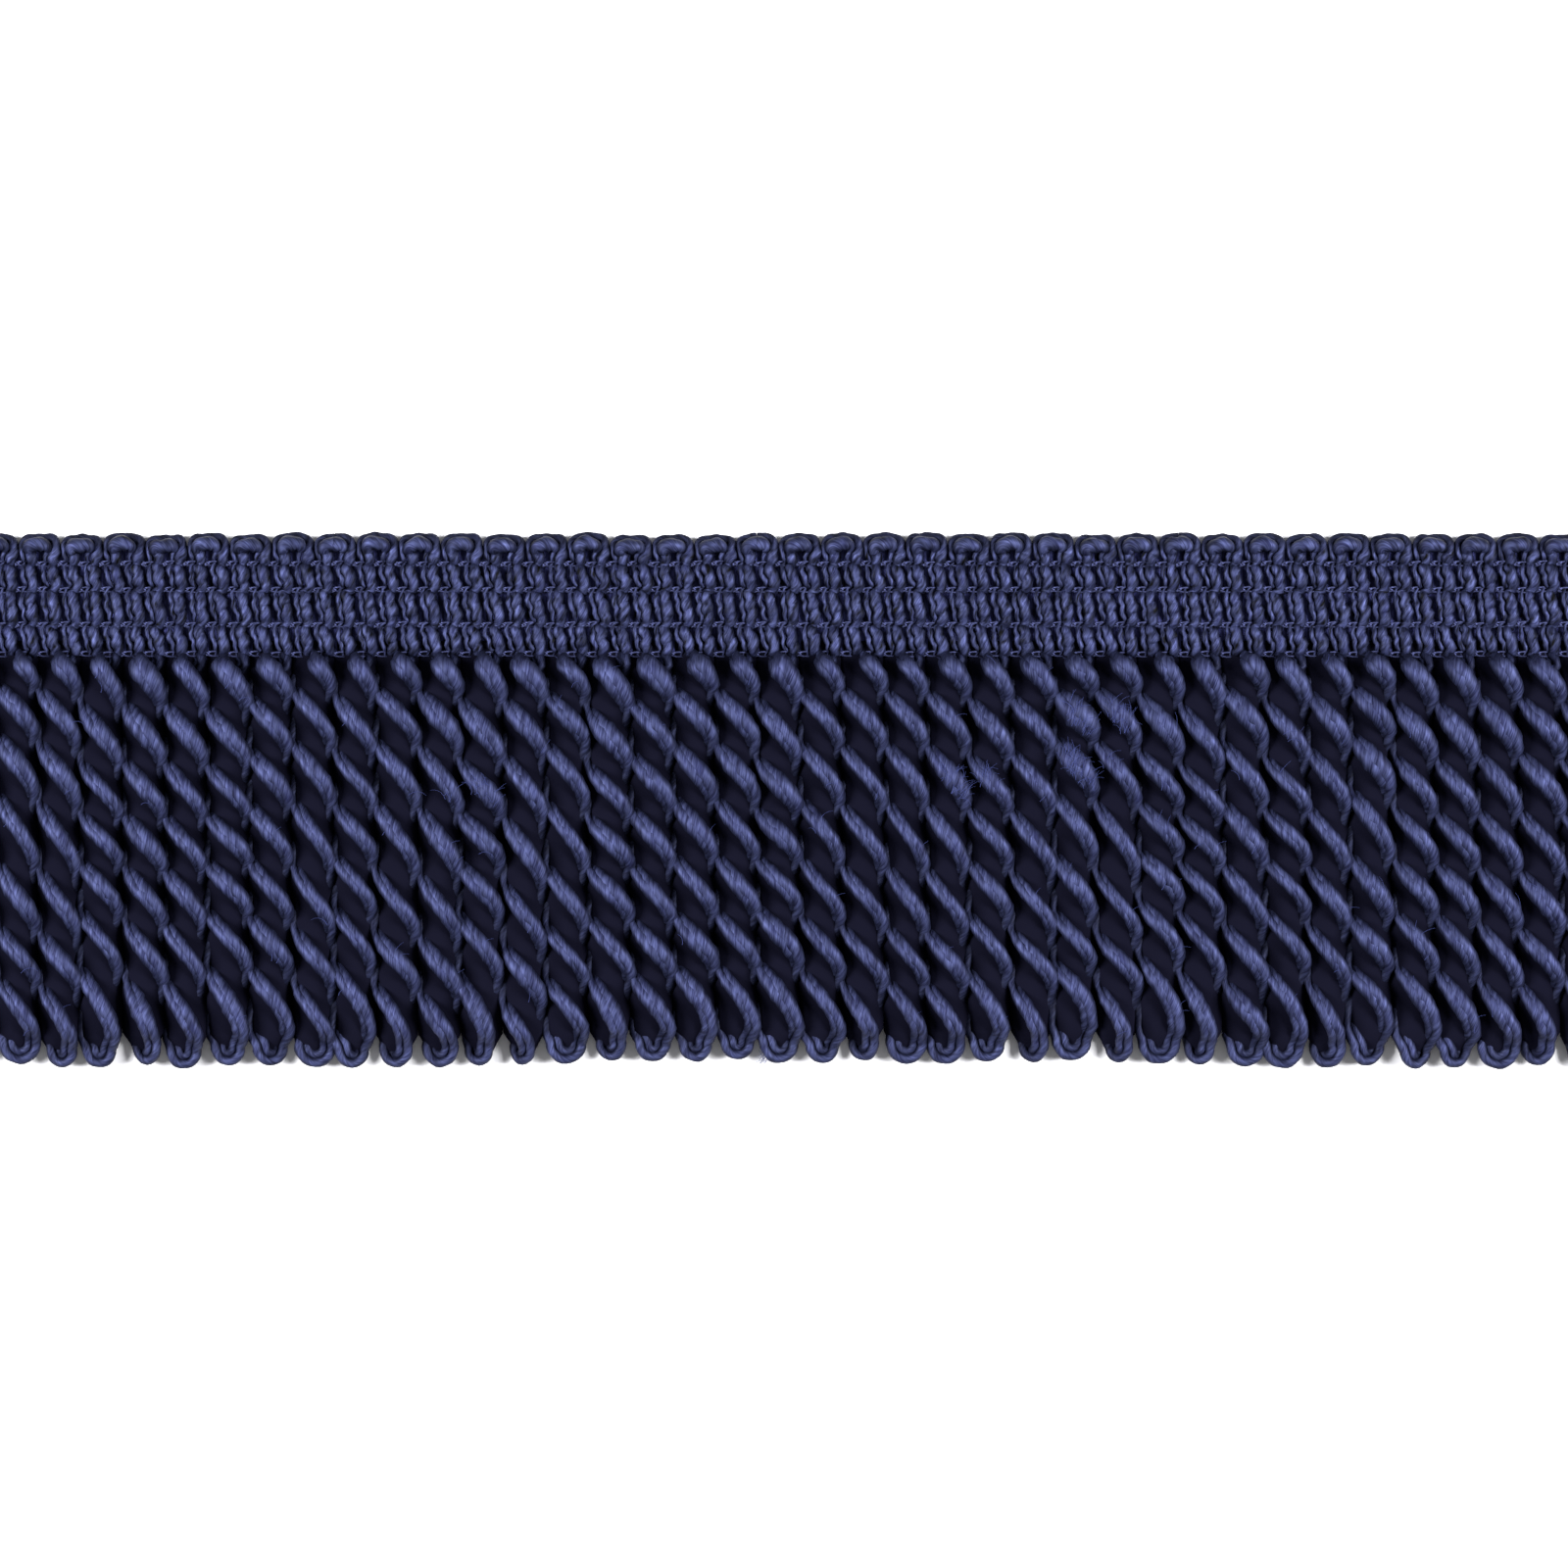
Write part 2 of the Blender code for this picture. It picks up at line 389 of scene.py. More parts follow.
def ply(k, side):
    """Down the cord on its left from the heading for side 1, and up on its right for side -1."""
    bottom = LOOP_END + loop_short[k] + loop_wide[k] + LOOP_APART + LOOP_END_R
    reach = ROWS[0] - bottom
    down = np.linspace(PLY_START, reach, PLY_POINTS)
    ramp_in = smooth(down / RAMP_IN)
    ramp_out = smooth((down - reach + RAMP_OUT) / RAMP_OUT)
    # Above the loop the two ends of yarn come apart, so that both can be seen going round it
    parted = smooth((down - reach + PART_OVER) / PART_OVER)
    phase, begun = twist(k, side, down, reach)
    # A ply starts low and thin at the left of the face and still rides high and full at the right
    facing, sideways = np.sin(phase - HELIX_LAG * (1 - ramp_out)), np.cos(phase)
    # Cords pressed side by side keep their plies straighter across the face than a free helix
    straight = np.arcsin(sideways) * 2 / math.pi
    sideways = blend(sideways, straight, HELIX_STRAIGHT * (1 - ramp_out))
    face = np.maximum(facing, 0) ** FACE_POWER
    back = np.maximum(-facing, 0) ** BACK_POWER * begun

    full = fullness(k, down)
    spacing = SIDE[0] + (FACE[0] * full - SIDE[0]) * face
    spacing = spacing + (BACK[0] - SIDE[0]) * back * (1 - ramp_out)
    side_thick = SIDE[1] * (1 - SIDE_TAPER * sideways)
    thick = side_thick + (FACE[1] * full - side_thick) * face
    thick = thick + (BACK[1] - side_thick) * back * (1 - ramp_out)

    half_width = blend(blend(PITCH / 4, HELIX_R * girth[k], ramp_in), loop_wide[k], ramp_out)
    half_height = HELIX_RZ * blend(1.0, LOOP_FLAT, ramp_out)
    middle_z = blend(HELIX_HEIGHT, LOOP_HEIGHT + LOOP_DIP, ramp_out)
    x = cord_middle(k, down) - half_width * sideways
    z = blend(LEG_HEIGHT - LEG_BULGE, middle_z + half_height * facing, ramp_in)
    # The pair of ends rocks over as the ply goes from one side of the cord to the other
    rock = -side * PLY_ROCK * sideways
    apart = blend(LEG_APART * START_CLOSE, spacing * np.cos(rock), ramp_in)
    over = blend(side * LEG_OVER, spacing * np.sin(rock), ramp_in)
    thick = blend(LEG_R * (1 - ROW_PINCH), thick, ramp_in)
    # The height about which light and shade are painted: from the heading's to the cord's middle,
    # and down to the loop's at its end
    shade_middle = blend(blend(LEG_SHADE_MIDDLE, HELIX_HEIGHT, ramp_in), LOOP_HEIGHT - LOOP_DIP, ramp_out)
    points = stretch(
        x, ROWS[0] - down, z, blend(apart, LOOP_APART, parted), blend(over, LOOP_OVER, parted),
        blend(thick, LOOP_END_R, parted), side * LEG_UNEVEN * (1 - ramp_in), 0.0, shade_middle,
    )
    return points if side > 0 else points[::-1]


# %% [markdown]
# ## The loop, and one whole repeat
#
# At the foot of the cord the yarn is one piece, so the end of the ply that came down and the start
# of the one that goes up have to be joined without a kink. Half an ellipse between the two points
# does that. The repeat then strings all the stretches together.

# %% The loop at a cord's end
LOOP_POINTS = 15


def loop(k, first, last):
    """Half a turn from the end of one ply to the start of the other."""
    start, end = first[:3], last[:3]
    middle, out = (start + end) / 2, (start - end) / 2
    turn = np.linspace(0, math.pi, LOOP_POINTS)[1:-1, None]
    hang = np.array([0.0, loop_wide[k], LOOP_DIP])
    points = middle + out * np.cos(turn) - hang * np.sin(turn)
    # The last number is the height about which light and shade are painted on the loop, just below
    # its path
    return stretch(
        *points.T, LOOP_APART, LOOP_OVER, LOOP_END_R, 0.0, 0.0, LOOP_HEIGHT - LOOP_DIP
    )


# %% One whole repeat
SCALLOP_TO_LEG = 0.3 * MM


def repeat(k):
    """From crown k down and up through cord k to the next crown."""
    first, last = half_scallop(k, 1), half_scallop(k + 1, -1)
    down_ply, up_ply = ply(k, 1), ply(k, -1)
    down_leg = leg(crown_x[k] + PITCH / 4, 1, first[-1, 1] - SCALLOP_TO_LEG)
    up_leg = leg(crown_x[k + 1] - PITCH / 4, -1, last[0, 1] - SCALLOP_TO_LEG)
    round_loop = loop(k, down_ply[-1], up_ply[0])
    return np.vstack([first, down_leg, down_ply, round_loop, up_ply, up_leg, last])


# %% [markdown]
# ## From a path to two ends of yarn
#
# Each end of yarn could be a skinned mesh or a sweep, but a curve object with a round bevel is
# simplest: it keeps a radius for each point, so the yarn can swell between the chain rows. The two
# ends are set off from the path to either side of its direction of travel.

# %% Two ends from one path
# Where the yarn dives steeply its sideways direction is unsure, and this keeps the ends together
STEEPEST = 0.15


def directions(points, least):
    """At each point of a centre line, the way ahead and the level way to its left."""
    ahead = np.gradient(points, axis=0)
    ahead /= np.linalg.norm(ahead, axis=1)[:, None]
    side = np.column_stack([-ahead[:, 1], ahead[:, 0], np.zeros(len(ahead))])
    side /= np.maximum(np.linalg.norm(side, axis=1), least)[:, None]
    return ahead, side


def ends_of(path):
    """Centre line, radii and heights about which light and shade are painted, of the outer end and
    of the inner end.
    """
    centre = path[:, :3]
    _, _, _, apart, over, radius, uneven, fill, shade_middle = path.T
    _, side = directions(centre, STEEPEST)
    shift = side * apart[:, None] + np.array([0.0, 0.0, 1.0]) * over[:, None]
    inner = centre - shift - side * fill[:, None]
    return [(centre + shift, radius + uneven, shade_middle), (inner, radius - uneven, shade_middle)]


# %% Strands as one mesh
def yarn_object(name, strands, sides_resolution, radius, lay_degrees, lumpy=0.0):
    """Strands, each (points, radii, heights about which light and shade are painted), as one mesh
    of round tubes.

    The fibres slant by lay_degrees, and their map is counted on a tube of the given radius.
    """
    curve = bpy.data.curves.new(name, "CURVE")
    curve.dimensions = "3D"
    curve.bevel_depth = 1.0
    curve.bevel_resolution = sides_resolution
    curve.use_fill_caps = True
    for points, radii, _ in strands:
        spline = curve.splines.new("POLY")
        spline.points.add(len(points) - 1)
        spline.points.foreach_set("co", np.column_stack([points, np.ones(len(points))]).ravel())
        spline.points.foreach_set("radius", np.asarray(radii, float))
    holder = bpy.data.objects.new(name + "_curve", curve)
    bpy.context.scene.collection.objects.link(holder)
    bpy.context.view_layer.update()
    swept = holder.evaluated_get(bpy.context.evaluated_depsgraph_get())
    mesh = bpy.data.meshes.new_from_object(swept)
    bpy.data.objects.remove(holder)
    mesh.name = name
    piece = bpy.data.objects.new(name, mesh)
    bpy.context.scene.collection.objects.link(piece)
    wind(mesh, strands, radius, lay_degrees, lumpy)
    mesh.shade_smooth()
    return piece


# %% [markdown]
# ## Fibres that wind round the yarn
#
# In a spun yarn the fibres run slantwise round it, wherever it goes. A pattern in the object's
# space would cut straight through the yarn, so each tube gets its own map: the distance along the
# yarn and the way round it, turned by the slant of the fibres. Each point also gets two numbers for
# the material: its tone says whether it is in the heading, and its painted light how far its colour
# is darkened as painted shade. Faces turned up on the upper part of a cord, or down on its lower
# part, are painted lit; the sides of each tube and the faces turned into the cord are painted dark,
# for the shade between plies that lie together. Soft lumps take away the look of a perfect tube.

# %% Numbers for one tube
# How fast the painted light falls off round a tube into painted shade, and where in the cord's
# height it sets in
OPEN_POWER, OPEN_FROM, OPEN_OVER = 3.0, 0.45, 1.1
# The scallops are smoother than the legs, so they count less as heading
SCALLOP_EASE, SCALLOP_FROM = 0.55, 1.0 * MM
# Length in mm of each wave of lumps, and its whole turns round the yarn, so that it joins up
LUMP_WAVES = ((2.9, 2), (1.9, -1), (1.45, 1))


def tube_numbers(points, shade_middle, spoke, number):
    """For each corner of a tube: length along, angle round, tone, painted light and lumpiness."""
    sides = spoke.shape[1]
    ahead, side = directions(points, 1e-6)
    top = np.cross(ahead, side)
    steps = np.linalg.norm(np.diff(points, axis=0), axis=1)
    length = np.repeat(np.concatenate([[0], np.cumsum(steps)]), sides)
    to_side, to_top = (np.einsum("psk,pk->ps", spoke, way) for way in (side, top))
    angle = np.arctan2(to_side, to_top).ravel()

    # Painted light and shade: full on faces turned up above the shade middle, or down below it, and
    # falling off into painted shade round the sides of the tube and into the cord
    lift = np.clip((points[:, 2] - shade_middle) / HELIX_RZ, -1.0, 1.0)[:, None]
    level = spoke[:, :, 2] / np.linalg.norm(spoke, axis=2)
    above = np.clip(level, 0, 1) ** OPEN_POWER * smooth((lift + OPEN_FROM) / OPEN_OVER)
    below = np.clip(-level, 0, 1) ** OPEN_POWER * smooth((OPEN_FROM - lift) / OPEN_OVER)
    painted_light = np.maximum(above, below).ravel()

    in_heading = smooth((points[:, 1] - FOOT + 0.5 * MM) / MM)
    in_scallop = smooth((points[:, 1] - ROWS[-1] - SCALLOP_FROM) / MM)
    tone = np.repeat(in_heading * (1 - SCALLOP_EASE * in_scallop), sides)

    lump = sum(
        np.sin(length / MM * 2 * math.pi / wave + turns * angle + number + wave)
        for wave, turns in LUMP_WAVES
    )
    # The first and last rings stay round, to fit their caps
    lump[:sides] = lump[-sides:] = 0.0
    return length, angle, tone, painted_light, lump


# %% The fibre map
def write_fibre_map(mesh, length, angle, radius, lay_degrees):
    """A UV map in mm: u runs across the fibres and v along them."""
    corner_vertex = np.empty(len(mesh.loops), np.int32)
    mesh.loops.foreach_get("vertex_index", corner_vertex)
    starts = np.empty(len(mesh.polygons), np.int32)
    mesh.polygons.foreach_get("loop_start", starts)
    first = starts[np.searchsorted(starts, np.arange(len(corner_vertex)), side="right") - 1]
    # Each face's angles follow on from those of its first corner, so none crosses the seam
    turn = angle[corner_vertex]
    turn_first = turn[first]
    turn = turn_first + (turn - turn_first + np.pi) % (2 * np.pi) - np.pi
    along, around = length[corner_vertex] / MM, turn * radius / MM
    lay = math.radians(lay_degrees)
    across_fibres = along * math.sin(lay) + around * math.cos(lay)
    along_fibres = around * math.sin(lay) - along * math.cos(lay)
    while mesh.uv_layers:
        mesh.uv_layers.remove(mesh.uv_layers[0])
    layer = mesh.uv_layers.new(name="fibres")
    fibre_uv = np.column_stack([across_fibres, along_fibres]).astype(np.float32)
    layer.data.foreach_set("uv", fibre_uv.ravel())


# %% Wind the fibres
# How much lumpier the yarn of the heading is
HEADING_LUMPS = 1.2


def wind(mesh, strands, radius, lay_degrees, lumpy):
    """Give the tubes their lumps, their fibre map and their numbers for the material."""
    corners = np.empty(len(mesh.vertices) * 3, np.float32)
    mesh.vertices.foreach_get("co", corners)
    corners = corners.reshape(-1, 3).astype(float)
    # The rings of all the end caps come first in the mesh, two for each strand
    cap_rings = 2 * len(strands)
    sides = len(corners) // (cap_rings + sum(len(points) for points, *_ in strands))
    length, angle, tone, painted_light = (np.zeros(len(corners)) for _ in range(4))
    at = cap_rings * sides
    for number, (points, _, shade_middle) in enumerate(strands):
        here = slice(at, at + len(points) * sides)
        spoke = corners[here].reshape(len(points), sides, 3) - points[:, None, :]
        numbers = tube_numbers(points, shade_middle, spoke, number)
        length[here], angle[here], tone[here], painted_light[here], lump = numbers
        swell = lumpy * (1 + HEADING_LUMPS * tone[here]) * lump
        corners[here] += spoke.reshape(-1, 3) * swell[:, None]
        at += len(points) * sides
    mesh.vertices.foreach_set("co", corners.astype(np.float32).ravel())
    write_fibre_map(mesh, length, angle, radius, lay_degrees)
    # The painted light goes to the material as an attribute, where it darkens the colour into
    # painted shade
    for name, values in (("tone", tone), ("painted_light", painted_light)):
        attribute = mesh.attributes.new(name, "FLOAT", "POINT")
        attribute.data.foreach_set("value", values.astype(np.float32))
    triangles = sum(len(polygon.vertices) - 2 for polygon in mesh.polygons)
    print(mesh.name, "sides", sides, "triangles", triangles)


# %% [markdown]
# ## The yarn itself
#
# On the machine it is one endless yarn. As one mesh it would be too heavy, so it is made in four
# lengths that meet at the crowns of three scallops, where both ends of yarn carry on unbroken.

# %% The weft, in four lengths
GROUPS = (range(0, 10), range(10, 20), range(20, 30), range(30, 41))
# The slant of the fibres in degrees, and the lumps as a share of the radius
FIBRE_LAY, WEFT_LUMPS = 50, 0.045
# The share of a ply's rise above which it counts as a crest
CREST_FROM = 0.7
weft, crests, path_length = [], [], 0.0
for number, group in enumerate(GROUPS, 1):
    repeats = [repeat(k) for k in group]
    path = np.vstack([points[:-1] for points in repeats[:-1]] + [repeats[-1]])
    path_length += np.linalg.norm(np.diff(path[:, :3], axis=0), axis=1).sum()
    # Stray fibres will start on the tops of the crests
    high = path[path[:, 2] > HELIX_HEIGHT + CREST_FROM * HELIX_RZ]
    crests.append(np.column_stack([high[:, :2], high[:, 2] + high[:, 5]]))
    weft.append(yarn_object(f"weft_{number}", ends_of(path), 3, FACE[1], FIBRE_LAY, WEFT_LUMPS))
crests = np.vstack(crests) / MM
print("doubled yarn m", round(path_length, 2), "crest points", len(crests))

# %% [markdown]
# ## The core of each cord
#
# Two plies wound round each other leave a hollow down the middle. A dull thick filler thread lies
# there and keeps the cord round. Very little light reaches it, and its near-black colour is painted
# shade for the dark deep between the plies. It could be left out, but the table would shine through
# between the plies. It is made as one more strand, spread flat to fill the hollow, and tapered
# where
# it is hidden: under the heading, and just above the loop.

# %% Cores
# Its radius, how many times it is spread, and how many times more at its hidden start
CORE_R, CORE_FLAT, CORE_FLAT_AT_TOP = 0.80 * MM, 2.98, 2.0
# Its height above the table: along the cord, and under the heading
CORE_HEIGHT, CORE_START_HEIGHT = 1.74 * MM, 0.5 * MM
# How far it starts under the heading, stops short of the loop, and tapers
CORE_START, CORE_END_SHORT, CORE_TAPER = 1.5 * MM, 1.3 * MM, 2.6 * MM
# Shares of the full thickness at the start and the end, and of the full height at the end
CORE_THIN_START, CORE_THIN_END, CORE_LOW_END = 0.55, 0.45, 0.34
CORE_POINTS = 40
core_strands = []
for k in range(CORD_COUNT):
    reach = ROWS[0] - LOOP_END - loop_short[k] - CORE_END_SHORT
    down = np.linspace(-CORE_START, reach, CORE_POINTS)
    begun = smooth(down / CORE_TAPER)
    unfinished = smooth((down[-1] - down) / CORE_TAPER)
    share = blend(CORE_THIN_START, 1.0, begun) * blend(CORE_THIN_END, 1.0, unfinished)
    height = blend(CORE_START_HEIGHT, CORE_HEIGHT, begun) * blend(CORE_LOW_END, 1.0, unfinished)
    points = np.column_stack([np.full(len(down), cord_x[k]), ROWS[0] - down, height])
    core_strands.append((points, CORE_R * share, HELIX_HEIGHT))
cores = yarn_object("cord_cores", core_strands, 2, CORE_R, FIBRE_LAY)
for vertex in cores.data.vertices:
    middle = cord_x[min(CORD_COUNT - 1, int((vertex.co.x - heading_low.x) / PITCH))]
    begun = smooth((ROWS[0] - vertex.co.y) / CORE_TAPER)
    vertex.co.x = middle + (vertex.co.x - middle) * CORE_FLAT * blend(CORE_FLAT_AT_TOP, 1.0, begun)

# %% [markdown]
# ## The chain rows
#
# A chain stitch is a row of thin loops, each pulled through the one before. Here every loop reaches
# over one leg of the heading and dips into the gap on either side of it. A bump pattern would lie
# flat on the yarns, so each stitch is a closed strand of its own, a few points long.

# %% Chain rows
# The sewing yarn's radius, and half a stitch's width
CHAIN_R, CHAIN_HALF = 0.11 * MM, 0.27 * MM
# How far a stitch strays from its row in mm, and the slant of its fibres in degrees
CHAIN_JITTER, CHAIN_LAY = 0.07, 40
STITCH = PITCH / 2
OVER_GAP, IN_LEG = LEG_HEIGHT + 0.1 * MM, LEG_HEIGHT - 0.35 * MM
# One side of a stitch: how far along it, how far out from its middle line, and how high
STITCH_SHAPE = (
    (-0.14, 0.0, OVER_GAP - 0.1 * MM), (0.0, 0.6, OVER_GAP), (0.22, 0.95, OVER_GAP),
    (0.4, 1.0, OVER_GAP - 0.05 * MM), (0.56, 1.0, IN_LEG), (0.8, 0.9, IN_LEG),
    (0.98, 0.6, OVER_GAP + 0.1 * MM), (1.1, 0.0, OVER_GAP + 0.15 * MM),
)


def stitch(x, y):
    """One closed loop of the sewing yarn."""
    there = [(x + a * STITCH, y + b * CHAIN_HALF, z) for a, b, z in STITCH_SHAPE]
    back = [(x + a * STITCH, y - b * CHAIN_HALF, z) for a, b, z in STITCH_SHAPE[-2:0:-1]]
    points = np.array(there + back + there[:1])
    return points, np.full(len(points), CHAIN_R), LEG_SHADE_MIDDLE


chain_strands = []
for y_row in ROWS:
    for j in range(2 * CORD_COUNT):
        y = y_row + draw.uniform(-CHAIN_JITTER, CHAIN_JITTER) * MM
        chain_strands.append(stitch(heading_low.x + j * STITCH, y))
chain = yarn_object("chain_rows", chain_strands, 1, CHAIN_R, CHAIN_LAY)

# %% [markdown]
# ## Stray fibres
#
# Cut and broken filaments stand off any spun yarn. Most are single short hairs over the crests of
# the cords. A few places are rubbed and carry a patch of them, and one loop has a loose tuft at its
# end. A hair system would be heavier and harder to place, so each hair is one thin bent strand.
# Real filaments are finer than a render can show, so these are drawn thicker and fewer.

# %% One hair
HAIR_R, HAIR_STEPS = 0.018 * MM, 5
# A hair is a little thicker than usual at its root and thins out to its tip
HAIR_ROOT, HAIR_TAPER, HAIR_BEND = 1.1, 0.6, 0.8


def hair(x, y, z, aim, length, curl, lift):
    """A thin arc from a point, in mm: it sets off at the angle aim, bends by curl and rises."""
    t = np.linspace(0, 1, HAIR_STEPS + 1)
    turn = (aim + curl * t)[1:]
    step = length / HAIR_STEPS
    points_x = x + np.concatenate([[0], np.cumsum(step * np.cos(turn))])
    points_y = y + np.concatenate([[0], np.cumsum(step * np.sin(turn))])
    points = np.column_stack([points_x, points_y, z + lift * np.sin(np.pi * t * HAIR_BEND)]) * MM
    return points, HAIR_R * (HAIR_ROOT - HAIR_TAPER * t), LEG_SHADE_MIDDLE


# %% Hairs on the crests and the tuft
LONE_HAIRS, HAIRS_PER_RUBBED_PLACE = 170, 7
# In mm, as the hairs are
TUFT_X, TUFT_Y, TUFT_Z, TUFT_WIDTH, TUFT_HAIRS = -1.0, -28.3, 0.9, 0.4, 50
rubbed = []
for x, y, reach, count in RUBBED:
    near = np.hypot(crests[:, 0] - x, crests[:, 1] - y) < reach
    rubbed += list(draw.permutation(crests[near])[:count])
hairs = []
for x, y, z in list(draw.permutation(crests)[:LONE_HAIRS]) + rubbed * HAIRS_PER_RUBBED_PLACE:
    hairs.append(hair(
        x + draw.uniform(-0.9, 0.7), y + draw.uniform(-1.4, 0.2), z - 0.15,
        aim=draw.uniform(0.7, 1.7), length=draw.uniform(1.0, 2.4),
        curl=draw.uniform(-2.0, 2.0), lift=draw.uniform(0.0, 0.2),
    ))
for _ in range(TUFT_HAIRS):
    hairs.append(hair(
        TUFT_X + draw.normal() * TUFT_WIDTH, TUFT_Y, TUFT_Z,
        aim=draw.uniform(-2.3, -0.8), length=draw.uniform(1.0, 2.7),
        curl=draw.uniform(-1.2, 1.2), lift=draw.uniform(-0.3, 0.4),
    ))
fibres = yarn_object("stray_fibres", hairs, 0, HAIR_R, 0)

# %% [markdown]
# ## The back of the heading
#
# Behind the front yarns the heading is a close flat web of the same yarn. From the front it shows
# only as darkness between the legs, and from behind as ribs that the chain rows pinch. Modelling
# its yarns one by one would be wasted, so it is a grid: its upper edge is pushed up under each
# scallop, it is ribbed as the legs are, and a Solidify gives it a little thickness.

# %% The web
WEB_HEIGHT, WEB_RIB, WEB_THICK = 0.8 * MM, 0.32 * MM, 0.4 * MM
# How far its upper edge stays below the scallops' tops, and how much it rises under each
WEB_BELOW_TOP, WEB_ARCH = 1.6 * MM, 0.7 * MM
WEB_COLUMNS_PER_CORD, WEB_ROWS = 12, 26
# The cut rim faces the light squarely, so it is painted in full shade, or it would shine
WEB_RIM_PAINTED_LIGHT = -0.1
web_mesh = bpy.data.meshes.new("heading_web")
bm = bmesh.new()
fibres_uv = bm.loops.layers.uv.new("fibres")
tone, painted_light = (bm.verts.layers.float.new(name) for name in ("tone", "painted_light"))
bmesh.ops.create_grid(
    bm, x_segments=CORD_COUNT * WEB_COLUMNS_PER_CORD, y_segments=WEB_ROWS, size=0.5
)
for vertex in bm.verts:
    # The web is painted lit all over, and its rim is painted in shade
    vertex[tone], vertex[painted_light] = 1.0, WEB_RIM_PAINTED_LIGHT if vertex.is_boundary else 1.0
    pitches = (vertex.co.x + 0.5) * CORD_COUNT
    arch = math.sqrt(max(0.0, 1 - (2 * ((pitches + 0.5) % 1.0) - 1) ** 2))
    y = FOOT + (vertex.co.y + 0.5) * (TOP - WEB_BELOW_TOP + WEB_ARCH * arch - FOOT)
    rib = abs(math.sin(2 * math.pi * pitches)) * float(between_rows(np.array(y))[2])
    vertex.co = (heading_low.x + pitches * PITCH, y, WEB_HEIGHT - WEB_RIB * rib)
for face in bm.faces:
    for corner in face.loops:
        corner[fibres_uv].uv = (corner.vert.co.x / MM, corner.vert.co.y / MM)
bm.to_mesh(web_mesh)
bm.free()
web_mesh.shade_smooth()
web = bpy.data.objects.new("heading_web", web_mesh)
bpy.context.scene.collection.objects.link(web)
thickness = web.modifiers.new("thickness", "SOLIDIFY")
thickness.thickness = WEB_THICK
thickness.offset = -1.0
print("web faces", len(web_mesh.polygons))

# %% [markdown]
# ## Two helpers for materials
#
# Colours are chosen as sRGB hex values, as a dyer's colour card gives them, but shaders count in
# linear light, so one function converts them. The other adds a node, with its settings and links.

# %% Colour and node helpers
def linear(hex_colour):
    """An sRGB hex colour as linear RGBA."""
    parts = [int(hex_colour[i : i + 2], 16) / 255 for i in (1, 3, 5)]
    return [p / 12.92 if p <= 0.04045 else ((p + 0.055) / 1.055) ** 2.4 for p in parts] + [1.0]


def add(tree, kind, settings=None, **links):
    """Add a node. Each link names an input, or gives its number as i0, and its value or source."""
    node = tree.nodes.new(kind)
    for key, value in (settings or {}).items():
        setattr(node, key, value)
    for key, value in links.items():
        numbered = key[0] == "i" and key[1:].isdigit()
        socket = node.inputs[int(key[1:]) if numbered else key.replace("_", " ")]
        if isinstance(value, bpy.types.NodeSocket):
            tree.links.new(value, socket)
        else:
            socket.default_value = value
    return node


# %% [markdown]
# ## Bright rayon yarn
#
# The fringe is spun from rayon, which is viscose drawn into smooth endless filaments and dyed navy.
# To the eye that is a silky yarn: pale gloss runs along the fibres, the grooves between bundles are
# nearly black, and the loose yarn of the heading is blotchy where filaments bunch and part. The
# streaks could be painted by hand, but noise drawn out along the fibre map follows every turn of
# the yarn and stays sharp at any distance. One height does both jobs: it bumps the surface, and it
# colours it from the deep colour to the light one, which is painted shade in the grooves and
# painted sheen on the crests, over the fibres' own streaks of tone.
#
# A real filament is about 0.02 mm thick, too fine to show. The ridges are drawn 0.22 mm apart, as
# coarse as bundles of filaments, and 0.10 mm apart on the thinner sewing yarn.

# %% What makes rayon look like rayon
# How far the ridges stray from side to side, in radians of their own wave
RIDGE_WANDER = 6.0
# How blotchy the yarn of the cords and of the heading is, and how bright the heading is
PATCHY, HEADING_PATCHY, HEADING_LEVEL = 1.8, 4.2, 0.88
# What is left of the colour in the painted shade, deep between two plies
SHADED = 0.19
# Where in the height the deep colour ends and the light one begins, and the ridges' share of it:
# the deep colour is painted shade in the grooves and the light one painted sheen on the crests
DEEP_TO, LIGHT_FROM, RIDGE_SHARE = 0.38, 0.62, 0.03
# Soft gloss. Light that leaves a dyed filament is tinted by it, so the gloss is navy and not white,
# which a part-metallic base gives, with little of the white gloss that a plastic has
ROUGHNESS, METALLIC, WHITE_GLOSS = 0.6, 0.42, 0.1


